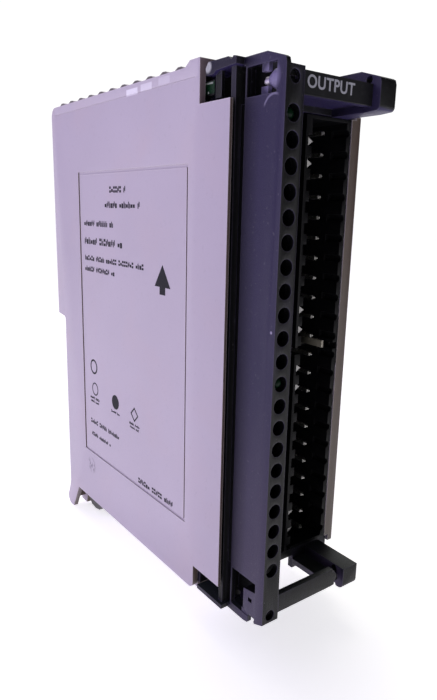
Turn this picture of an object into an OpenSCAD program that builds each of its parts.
// Compact automation input/output module: a narrow upright housing of two
// half shells, closed at the front by a dark terminal frame with an indicator
// strip, two plug-in terminal headers and brackets for a hinged cover.
// Drawn with the front plane at y = 0 and the upper edge of the bottom notch
// at z = 0; place() then moves it so that it stands on z = 0, centred.

/* [Housing] */
// Overall width across both shells
module_w = 41; // [40:0.5:44]
// Depth from the front plane to the rear face
module_d = 112; // [108:1:118]
// Height of the housing front between its top and bottom notches
face_h = 115.6; // [115.6:0.2:116]
// Height of the top notch
notch_top_h = 8.4; // [8:0.2:9]
// Height of the bottom notch
notch_bottom_h = 7; // [6.6:0.2:7.6]
// How far the rear foot reaches below the housing
foot_drop = 9.7; // [8:0.1:11]
// Wall thickness of the shells
shell_t = 1.6; // [1.4:0.1:1.8]
// How far the shell's front edge lies behind the front plane
shell_front = 13.9; // [13.5:0.1:14.2]
// Depth of the notches, from the shell's front edge
notch_d = 11.3; // [11:0.1:12]
// Depth of the sunk field on each side
field_depth = 0.4; // [0.2:0.1:0.6]

/* [Vents] */
// Number of louvres on the top
louvres = 11; // [8:1:11]
// Distance from one louvre to the next
louvre_pitch = 7; // [6:0.5:7]
// Height of a louvre above the top face
louvre_h = 1.1; // [0.6:0.1:1.2]

/* [Front frame] */
// Left face of the frame, from the module's middle
frame_left = -17.6; // [-17.7:0.1:-17.3]
// Right face of the frame's cheeks, from the module's middle
frame_right = 15.65; // [15:0.05:16]
// Width of the indicator strip
strip_w = 5; // [4.8:0.1:5.2]
// Thickness of the frame's front walls
frame_t = 1.8; // [1.4:0.1:2]
// Width of the cheeks at the right-hand side
cheek_w = 5.25; // [4.5:0.05:6]
// Distance between terminals, and between indicators
pitch = 5.08; // [5:0.01:5.08]
// Number of indicator holes
indicator_holes = 21; // [12:1:21]
// Diameter of an indicator hole
indicator_d = 3.5; // [2.6:0.1:3.5]

/* [Terminals] */
// Number of contacts in each header
poles = 11; // [6:1:11]
// Side of a square contact pin
pin_side = 1; // [0.8:0.1:1.2]
// Depth of a header from its mouth to its back
header_d = 16; // [14:0.5:16]

/* [Captive screws] */
// Shaft diameter of the two small captive screws
screw_d = 1.9; // [1.8:0.1:2]
// Radial running clearance round each screw
screw_gap = 0.05; // [0.03:0.01:0.08]

/* [Hidden] */
$fn = 32;

half_w = module_w / 2;
z_bottom = -notch_bottom_h;
z_top = face_h + notch_top_h;
z_foot = z_bottom - foot_drop;
lip_h = 1.3;
notch_y = shell_front + notch_d;
rear_low = module_d - 5.8;
step_z = 55;
corner_r = 3;
first_louvre_y = 32.6;
inner_x = half_w - shell_t;
seam_gap = 0.1;

field_y = [29.4, 92];
field_z = [10.8, 103];

wall_t = 1.2;
strip_right = frame_left + strip_w;
led_x = frame_left + 2.4;
first_led_z = 111.67;
led_board_y = 7.6;
screw_top_z = 118.45;
screw_bottom_z = -1.95;
boss_end = 6.4;
head_r = 1.55;
mouth_r = 1.35;
screw_tip_r = 0.6;
frame_z0 = -6.5;
frame_top = 123.6;
strip_z = [-3.9, 120.65];
inner_top = frame_top - 0.3;
arm_y = 13.2;
sill_y = 13.5;
frame_depth = 12.5;
plate_y = 14.4;
plate_t = 1.6;
plate_right = 0.6;
cheek_left = frame_right - cheek_w;
shelf_z = 116.6;
label_y = 2.2;
label_t = 0.4;
rail_x = -18.7;
arm_x = -19.7;
closing_y = [24.3, 26];

header_x = [2.1, 17.25];
header_y = 14;
header_wall = [2.0, 1.45];
divider_z = 58.2;
divider_t = 1.7;
divider_recess = 10;
pin_x = 11.4;
pin_tip_y = 17.3;
first_pin_z = 111.54;
header_gap = 0.15;

board_t = 1.6;
board_x = -18.3;
board_y = [26.4, 103.6];
board_z = [-3.5, 120.6];
part_x = board_x + board_t;
boss_at = [[38, 104], [99, 66], [38, 12], [99, 12]];
boss_r = 3;
peg_r = 1.5;

bus_z = [74, 110];
bus_x = [part_x, part_x + 9.4];

// Stand the drawing on its foot and centre its depth
module place() {
    translate([0, -module_d / 2, -z_foot]) children();
}

// A plain block from one corner to the other
module block(low, high) {
    translate(low) cube(high - low);
}

// A (y, z) outline made solid between two x positions
module across(x0, x1) {
    translate([x0, 0, 0]) rotate([90, 0, 90]) linear_extrude(x1 - x0) children();
}

// A round bar along y
module bar_y(x, y0, y1, z, r) {
    translate([x, y1, z]) rotate([90, 0, 0]) cylinder(h = y1 - y0, r = r);
}

// A round bar along x
module bar_x(x0, x1, y, z, r) {
    translate([x0, y, z]) rotate([0, 90, 0]) cylinder(h = x1 - x0, r = r);
}

// Points on a quarter or other arc
function arc(centre, r, from, to, steps = 6) =
    [for (i = [0 : steps]) let (a = from + (to - from) * i / steps)
        centre + r * [cos(a), sin(a)]];

/* Housing shells */

// Outline of the top, rear and bottom walls at a depth t inside the surface
module hollow_outline(t) {
    polygon(concat(
        [[notch_y - 0.01, z_bottom + t], [rear_low - t, z_bottom + t],
         [rear_low - t, step_z + t], [module_d - t, step_z + t]],
        arc([module_d - corner_r, z_top - corner_r], corner_r - t, 0, 90),
        [[notch_y - 0.01, z_top - t]]));
}

// Outline of a side wall, with both notches and the rear foot
module side_outline() {
    polygon(concat(
        [[shell_front, 0], [notch_y, 0]],
        arc([notch_y + 2, z_bottom + 2], 2, 180, 270, 4),
        [[notch_y + 74, z_bottom], [104.5, z_foot]],
        arc([106.8, z_foot + 2.4], 2.4, 270, 390, 5),
        [[107.4, z_bottom - 3], [rear_low + 0.3, z_bottom],
         [rear_low, step_z - 4], [rear_low, step_z - 0.6],
         [rear_low + 0.6, step_z], [module_d, step_z + 0.6]],
        arc([module_d - corner_r, z_top - corner_r], corner_r, 0, 90),
        [[notch_y + 6, z_top], [notch_y + 4, z_top + lip_h],
         [notch_y, z_top + lip_h], [notch_y, face_h], [shell_front, face_h]]));
}

// One louvre blade, highest towards the rear
module louvre_outline() {
    polygon([[0, -0.4], [0.9, -0.4], [3.4, -0.4], [6.2, -0.4],
             [6.2, 0], [3.6, louvre_h], [2.2, 0.95 * louvre_h], [0, 0.15]]);
}

// A half shell from its side wall at -half_w to the seam at the middle
module half_shell() {
    difference() {
        union() {
            across(-half_w, -inner_x) side_outline();
            across(-inner_x - 0.01, -seam_gap / 2) difference() {
                hollow_outline(0);
                hollow_outline(shell_t);
            }
            across(-half_w, -seam_gap / 2)
                polygon([[notch_y, z_top - 0.01], [notch_y + 6, z_top - 0.01],
                         [notch_y + 4, z_top + lip_h], [notch_y, z_top + lip_h]]);
            for (i = [0 : louvres - 1])
                translate([0, first_louvre_y + louvre_pitch * i, z_top])
                    across(-half_w + 1.3, -seam_gap / 2) louvre_outline();
            foot_ribs();
        }
        vent_slots();
    }
}

// Second hook plate and bridge of the rear foot
module foot_ribs() {
    across(-15.6, -13.4)
        polygon([[103.6, z_foot + 0.4], [108.2, z_foot + 0.4], [107.2, z_bottom + 0.5],
                 [101.2, z_bottom + 0.5]]);
    across(-inner_x - 0.6, -seam_gap / 2)
        polygon([[104.6, -13.6], [106.6, -13.6], [106.2, z_bottom + 0.5], [104.6, z_bottom + 0.5]]);
}

// Slots between the louvres and along the bottom
module vent_slots() {
    for (i = [0 : louvres - 1], side = [0, 1])
        block([side ? -8.6 : -17.4, 35.2 + louvre_pitch * i, z_top - 3],
              [side ? -1.6 : -10.4, 36.6 + louvre_pitch * i, z_top + 3]);
    for (i = [0 : 8])
        block([-16.6, 34 + 7 * i, z_bottom - 1], [-2.2, 37 + 7 * i, z_bottom + 3]);
}

// The sunk field on a side wall
module side_field() {
    block([-half_w - 1, field_y[0], field_z[0]], [-half_w + field_depth, field_y[1], field_z[1]]);
}

// Fine line along a side wall, just below its top edge
module crease() {
    block([-half_w - 1, 27, z_top - 2.6], [-half_w + 0.12, module_d - 3, z_top - 2.45]);
}

// Ribs that hold the main board's edges
module board_guides() {
    for (z = [board_z[0] - 1.3, board_z[1] + 0.1])
        block([-inner_x - 0.5, board_y[0] + 6, z], [board_x + board_t + 1, board_y[1] - 8, z + 1.2]);
}

module left_shell() {
    color("#c9c3d6") difference() {
        union() {
            half_shell();
            for (p = boss_at) bar_x(-inner_x - 0.5, -1.2, p[0], p[1], boss_r);
            board_guides();
        }
        block([-half_w + 0.8, shell_front - 1, -1], [-inner_x + 1, shell_front + 2.5, face_h + 1]);
        side_field();
        crease();
        for (p = boss_at) bar_x(-12, 0, p[0], p[1], peg_r);
        block([bus_x[0] - 0.2, module_d - 4, bus_z[0] - 0.4],
              [bus_x[1] + 0.3, module_d + 1, bus_z[1] + 0.4]);
    }
}

module right_shell() {
    color("#c9c3d6") mirror([1, 0, 0]) difference() {
        union() {
            half_shell();
            block([-inner_x - 0.2, shell_front, 1.9],
                  [-header_x[1] - header_gap, shell_front + 3, face_h - 0.7]);
            for (p = boss_at) {
                bar_x(-inner_x - 0.5, 0.9, p[0], p[1], boss_r);
                bar_x(0.8, 10.5, p[0], p[1], peg_r - 0.05);
            }
        }
        side_field();
        crease();
    }
}

/* Front frame */

// Side view of the frame: front plane, sloped top corner and bottom notch
module frame_outline() {
    polygon([[0, strip_z[0]], [3, strip_z[0] - 1.2], [3.4, strip_z[0] + 0.1], [5.4, strip_z[0] + 0.1],
             [5.6, frame_z0 + 0.3], [7.2, frame_z0], [frame_depth, frame_z0],
             [frame_depth, frame_top], [5.8, frame_top],
             [1, frame_top - 1.5], [0.3, frame_top - 1.9], [0, strip_z[1]]]);
}

// Left wall of the frame with its two windows
module frame_side() {
    difference() {
        across(frame_left, frame_left + wall_t) frame_outline();
        block([frame_left - 1, 2.7, face_h], [frame_left + 2, frame_depth - 0.4, 121.5]);
        block([frame_left - 1, 3, -4.5], [frame_left + 2, frame_depth - 0.4, 5.6]);
    }
    for (z = [[119.9, 122], [115, 117.1]])
        block([frame_left + 0.2, 5.4, z[0]], [frame_left + wall_t, 7.5, z[1]]);
    block([frame_left + 0.2, 5.4, -6], [frame_left + wall_t, 8, -3.4]);
}

// Front wall of the indicator strip, and the wall along its right edge
module strip_front() {
    block([frame_left, 0, strip_z[0]], [strip_right, frame_t, strip_z[1]]);
    block([strip_right - 0.8, 0, strip_z[0]], [strip_right, plate_y, strip_z[1]]);
    across(strip_right - 0.8, strip_right)
        polygon([[2.6, frame_z0], [sill_y, frame_z0], [sill_y, 2], [plate_y, 2], [plate_y, inner_top],
                 [6.5, inner_top], [5.8, 122.2], [2.6, strip_z[1]]]);
}

// Round holes for the lamps, which also groove the left wall behind them
module indicator_bores() {
    for (i = [0 : indicator_holes - 1])
        bar_y(led_x, -1, 7.7, first_led_z - pitch * i, indicator_d / 2);
}

// A domed boss behind the top hole and a square one behind the bottom hole
module screw_bosses() {
    dome_y = 4.6;
    translate([led_x, frame_t - 0.1, screw_top_z]) rotate([-90, 0, 0])
        cylinder(h = dome_y - frame_t + 0.1, r1 = 2.3, r2 = 2.15);
    translate([led_x, dome_y, screw_top_z]) rotate([-90, 0, 0])
        cylinder(h = boss_end - dome_y, r1 = 2.15, r2 = 1.3);
    difference() {
        across(frame_left + 0.1, strip_right - 0.3)
            polygon([[frame_t - 0.1, -4], [5.5, -3.8], [7.4, -3], [7.4, 2.3],
                     [3, 3.1], [frame_t - 0.1, 3.1]]);
        block([frame_left - 1, 4.2, -0.3], [frame_left + 1.6, 5.6, 0.8]);
    }
}

// Stepped bore: narrow mouth, pocket for the head, running bore for the shaft
module screw_bore(z) {
    bar_y(led_x, -1, 1, z, mouth_r);
    bar_y(led_x, 0.9, 2.9, z, head_r + 0.1);
    bar_y(led_x, 2.8, 9, z, screw_d / 2 + screw_gap);
}

// Thin walls that carry the strip on the back plate
module strip_ties() {
    block([frame_left + 0.5, frame_depth - 0.5, 6], [frame_left + 2, plate_y, 114.6]);
    block([frame_left, frame_depth - 1, 121.9], [frame_left + 2, arm_y, frame_top]);
    block([frame_left, 7.3, frame_z0], [strip_right - 0.2, sill_y, frame_z0 + 1.1]);
}

module indicator_strip() {
    color("#3a3942") difference() {
        union() {
            frame_side();
            strip_front();
            screw_bosses();
            strip_ties();
        }
        indicator_bores();
        for (z = [screw_top_z, screw_bottom_z]) screw_bore(z);
    }
}

// Snap arm with a hooked end, in the (y, z) plane
module snap_arm_outline() {
    polygon([[arm_y, 122.2], [20.4, 121.9], [21.2, 121.3], [23.9, 121.3], [24.2, 122.8],
             [23.2, 124], [16, 124], [14.8, 123.3], [14.2, 123.9], [arm_y, 123.7]]);
}

// Plate across the front of the shells, with ledges round the headers and snap arms
module back_plate() {
    color("#3a3942") {
        block([rail_x, plate_y, 0.4], [plate_right, plate_y + plate_t, shelf_z]);
        block([rail_x, plate_y, frame_z0], [strip_right, plate_y + plate_t, 0.5]);
        block([rail_x, plate_y, shelf_z - 0.1], [strip_right, plate_y + plate_t, inner_top]);
        block([rail_x, 19.4, shelf_z - 0.1], [rail_x + 0.8, 21.6, 122]);
        block([plate_right - 0.1, plate_y, -0.5], [cheek_left - 4.7, plate_y + plate_t, 0.5]);
        for (z = [[0.3, 1.75], [115.05, shelf_z]])
            block([strip_right - 0.2, plate_y, z[0]], [18.5, closing_y[1], z[1]]);
        block([cheek_left - 4.8, plate_y, -4.4], [18.5, plate_y + plate_t, 0.4]);
        block([-16.5, closing_y[0], shelf_z - 0.1], [18.5, notch_y - 0.1, 123.4]);
        block([-16.5, closing_y[0], shelf_z - 0.1], [18.5, closing_y[1], z_top - shell_t - 0.1]);
        block([rail_x, closing_y[0], z_bottom + shell_t + 0.1], [18.5, closing_y[1], 1.75]);
        block([rail_x, plate_y, 0.3], [strip_right, closing_y[1], 1.75]);
        across(arm_x, arm_x + 4.6) snap_arm_outline();
        block([arm_x, sill_y, frame_z0], [strip_right, closing_y[0], frame_z0 + 1.1]);
    }
}

// Bracket across the top: shelf, front wall and cheek
module upper_bracket() {
    wall_y = label_y + label_t;
    color("#3a3942") difference() {
        union() {
            block([strip_right, wall_y, shelf_z], [cheek_left + 0.1, plate_y + 1.8, shelf_z + 1.5]);
            block([strip_right, wall_y, shelf_z - 0.7], [cheek_left + 0.1, label_y + 2, 120.7]);
            across(cheek_left, frame_right) polygon(concat(
                [[0, 120.7], [0, 116.2]], arc([1, 116], 1, 190, 260, 3),
                [[4, 114.8], [plate_y, 114.8], [plate_y, 121], [frame_depth, frame_top],
                 [5.8, frame_top], [1, frame_top - 1.5], [0.3, frame_top - 1.9]]));
        }
        cover_socket(121.6);
    }
}

// Cross hole for a cover's pin, right through a cheek
module cover_socket(z) {
    bar_x(cheek_left - 1, frame_right + 1, 3.4, z, 0.9);
}

// Bracket across the bottom: front bar, plate and cheek
module lower_bracket() {
    color("#3a3942") difference() {
        union() {
            across(strip_right, 6.2)
                polygon([[0, -2.2], [2, -2.2], [2, 2.2], [1.6, 2.6], [0, 2.6]]);
            bar_y(6.2, 0, 2, 0.2, 1.5);
            block([6.1, 0, -2.1], [7, 2, 1.8]);
            block([cheek_left - 4.8, 1.9, -3], [cheek_left + 0.1, plate_y, -1.5]);
            across(cheek_left, frame_right) polygon(concat(
                arc([1.5, -3.5], 1.5, 180, 270, 4),
                [[2.3, -5], [2.6, -4.4], [plate_y, -4.4], [plate_y, 1], [0, 1]]));
        }
        cover_socket(-0.25);
    }
}

module label_plate() {
    color("#2f2e33")
        block([strip_right, label_y, shelf_z - 0.6], [cheek_left, label_y + label_t, 120.6]);
}

module side_label() {
    color("#c2bdd2")
        block([-half_w + field_depth - 0.25, field_y[0] + 0.8, field_z[0] + 0.8],
              [-half_w + field_depth, field_y[1] - 0.8, field_z[1] - 0.8]);
}

/* Terminal headers */

// A header housing between two heights, with scallops beside each contact and
// its end wall set back at open_z
module header_body(z0, z1, first, open_z) {
    difference() {
        block([header_x[0], header_y, z0], [header_x[1], header_y + header_d, z1]);
        block([header_x[0] + header_wall[0], header_y - 1, open_z - 0.9],
              [header_x[1] - header_wall[1], header_y + divider_recess, open_z + 0.9]);
        block([header_x[0] + header_wall[0], header_y - 1, z0 + 0.8],
              [header_x[1] - header_wall[1], header_y + header_d - 3, z1 - 0.8]);
        for (i = [0 : poles - 1]) {
            bar_y(header_x[1] - header_wall[1], header_y - 1, header_y + 5, first - pitch * i, 0.9);
            block([pin_x - pin_side / 2, header_y, first - pitch * i - pin_side / 2],
                  [pin_x + pin_side / 2, header_y + header_d + 1, first - pitch * i + pin_side / 2]);
            block([header_x[0] + 0.8, header_y - 1, first - pitch * (i + 0.5) - 1.3],
                  [header_x[0] + header_wall[0] + 0.1, header_y + 4, first - pitch * (i + 0.5) + 1.3]);
        }
    }
}

// Square contacts through a header's back
module pin_row(first) {
    for (i = [0 : poles - 1])
        translate([pin_x, pin_tip_y, first - pitch * i]) rotate([-90, 0, 0])
            linear_extrude(34 - pin_tip_y) square(pin_side - 0.04, center = true);
}

first_lower_z = first_pin_z - pitch * poles;
module upper_header() {
    z0 = divider_z + divider_t / 2;
    color("#1d1d20") header_body(z0, 114.75, first_pin_z, z0);
}
module lower_header() {
    z1 = divider_z - divider_t / 2;
    color("#1d1d20") header_body(1.95, z1, first_lower_z, z1);
}
module upper_pins() {
    color("#b9b4a4") pin_row(first_pin_z);
}
module lower_pins() {
    color("#b9b4a4") pin_row(first_lower_z);
}

module header_divider() {
    color("#b9b2a2") {
        block([header_x[0] + 0.3, header_y + 8.6, divider_z - divider_t / 2 + 0.02],
              [header_x[1] - 1, header_y + header_d, divider_z + divider_t / 2 - 0.02]);
        block([12.05, header_y + 0.6, divider_z - 0.2],
              [12.75, header_y + divider_recess - 0.1, divider_z + 1.6]);
    }
}

// Wedge tabs pushed into the coding slots at chosen places
module coding_tabs() {
    color("#e8e4da") for (slot = [0, 1, 8, 9, 11, 12, 19, 20])
        translate([header_x[0] + 0.85, header_y + 1.7, first_pin_z - pitch * (slot + 0.5)])
            rotate([-90, 0, 0]) linear_extrude(2.2)
                polygon([[0, -0.6], [1.15, -0.6], [1.15, -1.2], [3, 0], [1.15, 1.2], [1.15, 0.6], [0, 0.6]]);
}

/* Boards behind the front */

// A board standing across the module
module cross_board(x, y, z) {
    block([x[0], y, z[0]], [x[1], y + board_t, z[1]]);
}

module terminal_board() {
    color("#2f6b3c") difference() {
        cross_board([-13, 17.4], header_y + header_d + 0.1, [3, 114]);
        for (i = [0 : 2 * poles - 1])
            block([pin_x - pin_side / 2, 20, first_pin_z - pitch * i - pin_side / 2],
                  [pin_x + pin_side / 2, 40, first_pin_z - pitch * i + pin_side / 2]);
    }
}

module led_board() {
    color("#2f6b3c") cross_board([frame_left + wall_t + 0.1, strip_right - 0.9], led_board_y, [8, 114.4]);
}

// A domed indicator lamp with a collar, on the indicator board
module lamp(i) {
    z = first_led_z - pitch * i;
    bar_y(led_x, 2, led_board_y, z, 1.4);
    translate([led_x, 2, z]) sphere(r = 1.4);
    bar_y(led_x, 6.8, led_board_y, z, 1.6);
}
module ready_led() {
    color("#2e7a4a") lamp(0);
}
module supply_led() {
    color("#2e7a4a") lamp(11);
}

// A small captive screw: slotted head, shaft and a pointed tip with a round end
module captive_screw(z) {
    shaft_end = boss_end + 1.5;
    difference() {
        union() {
            bar_y(led_x, 1.05, 2.75, z, head_r);
            bar_y(led_x, 1.05, shaft_end, z, screw_d / 2);
            translate([led_x, shaft_end - 0.1, z]) rotate([-90, 0, 0])
                cylinder(h = 0.6, r1 = screw_d / 2, r2 = screw_tip_r);
            translate([led_x, shaft_end + 0.5, z]) sphere(r = screw_tip_r);
        }
        block([led_x - 2, 0.9, z - 0.3], [led_x + 2, 1.75, z + 0.3]);
    }
}
module upper_screw() {
    color("#c9c7cf") captive_screw(screw_top_z);
}
module lower_screw() {
    color("#c9c7cf") captive_screw(screw_bottom_z);
}

/* Main board and what it carries */

module main_board() {
    color("#2f6b3c") difference() {
        across(board_x, part_x) polygon([
            [board_y[0], 117.4], [board_y[0], board_z[0]],
            [board_y[1], board_z[0]], [board_y[1], step_z + 3], [board_y[1] + 5, step_z + 3],
            [board_y[1] + 5, board_z[1] - 3], [board_y[1] + 2, board_z[1]],
            [board_y[0] - 3.8, board_z[1]], [board_y[0] - 3.8, 117.4]]);
        for (p = boss_at) bar_x(board_x - 1, part_x + 1, p[0], p[1], boss_r + 0.3);
    }
}

// A part standing on the main board: centre (y, z), height and size
module on_board(y, z, h, dy, dz) {
    block([part_x, y - dy / 2, z - dz / 2], [part_x + h, y + dy / 2, z + dz / 2]);
}

module board_link() {
    color("#222226") block([part_x, 31.9, 22], [-10.5, 36.4, 96]);
}

// Open shroud facing the rear
module bus_connector() {
    color("#d8d2c0") difference() {
        block([bus_x[0], 98, bus_z[0]], [bus_x[1], module_d - 0.3, bus_z[1]]);
        block([bus_x[0] + 1.3, 103, bus_z[0] + 1.4], [bus_x[1] - 1.3, module_d + 1, bus_z[1] - 1.4]);
        bus_grid() block([-0.32, 96, -0.32], [0.32, 104, 0.32]);
    }
}

// Two columns of thirteen contacts
module bus_grid() {
    for (col = [-1, 1], row = [-6 : 6])
        translate([(bus_x[0] + bus_x[1]) / 2 + 1.27 * col, 0, (bus_z[0] + bus_z[1]) / 2 + 2.54 * row])
            children();
}

module bus_contacts() {
    color("#c8a24a") bus_grid() block([-0.3, 96.5, -0.3], [0.3, 106.5, 0.3]);
}

module hook_insert() {
    color("#202024") across(-16, 16)
        polygon([[90, z_bottom], [90, -12.4], [92, -14.4], [95, -15], [98.3, -14.6],
                 [100.4, -12.6], [100.9, z_bottom]]);
}

module power_transformer() {
    color("#8c8476") {
        on_board(84, 30, 15, 18, 20);
        on_board(84, 30, 3, 21, 23);
    }
}

module filter_capacitors() {
    color("#2b3550") for (p = [[57, 12], [67, 12], [67, 22.5]])
        bar_x(part_x, part_x + 16, p[0], p[1], 4.5);
}

module optocouplers() {
    color("#f0efe9") for (i = [0 : 3]) on_board(52, 46 + 12 * i, 3.4, 9, 6.4);
}

module controller_chip() {
    color("#26262a") on_board(86, 84, 3.6, 17.5, 17.5);
}

module logic_chips() {
    color("#26262a") for (p = [[68, 44], [68, 60], [68, 76], [68, 92], [86, 104]])
        on_board(p[0], p[1], 2.6, 8, 12);
}

module converter_chips() {
    color("#26262a") for (z = [51, 67]) on_board(84, z, 4, 8, 15);
}

module output_relays() {
    color("#3b6fb0") for (z = [60, 78]) block([part_x, 38.5, z], [part_x + 11, 45.5, z + 14]);
}

module trimmers() {
    color("#3b6fb0") for (z = [98, 108]) on_board(52, z, 5, 9.4, 5);
}

module crystal() {
    color("#c2c2c6") on_board(70, 108, 4, 11, 4.6);
}

// A toroid on its side
module choke() {
    color("#9c5a2e") translate([part_x, 43, 34]) rotate([0, 90, 0])
        difference() {
            cylinder(h = 7, r = 6);
            translate([0, 0, -1]) cylinder(h = 9, r = 2.6);
        }
}

module regulator() {
    color("#26262a") block([part_x + 2, 46, 8.5], [part_x + 12, 50.4, 24]);
}

// Finned plate beside the regulator
module heat_sink() {
    color("#a9abb0") {
        block([part_x, 42.2, 5], [part_x + 20, 46, 26]);
        for (i = [0 : 4]) block([part_x + 1 + 4.2 * i, 39, 17.5], [part_x + 2.2 + 4.2 * i, 42.3, 26]);
    }
}

place() left_shell();
place() right_shell();
place() indicator_strip();
place() back_plate();
place() upper_bracket();
place() lower_bracket();
place() label_plate();
place() side_label();
place() upper_header();
place() lower_header();
place() header_divider();
place() coding_tabs();
place() upper_pins();
place() lower_pins();
place() terminal_board();
place() led_board();
place() ready_led();
place() supply_led();
place() upper_screw();
place() lower_screw();
place() main_board();
place() board_link();
place() bus_connector();
place() bus_contacts();
place() hook_insert();
place() power_transformer();
place() filter_capacitors();
place() optocouplers();
place() controller_chip();
place() logic_chips();
place() converter_chips();
place() output_relays();
place() trimmers();
place() crystal();
place() choke();
place() regulator();
place() heat_sink();
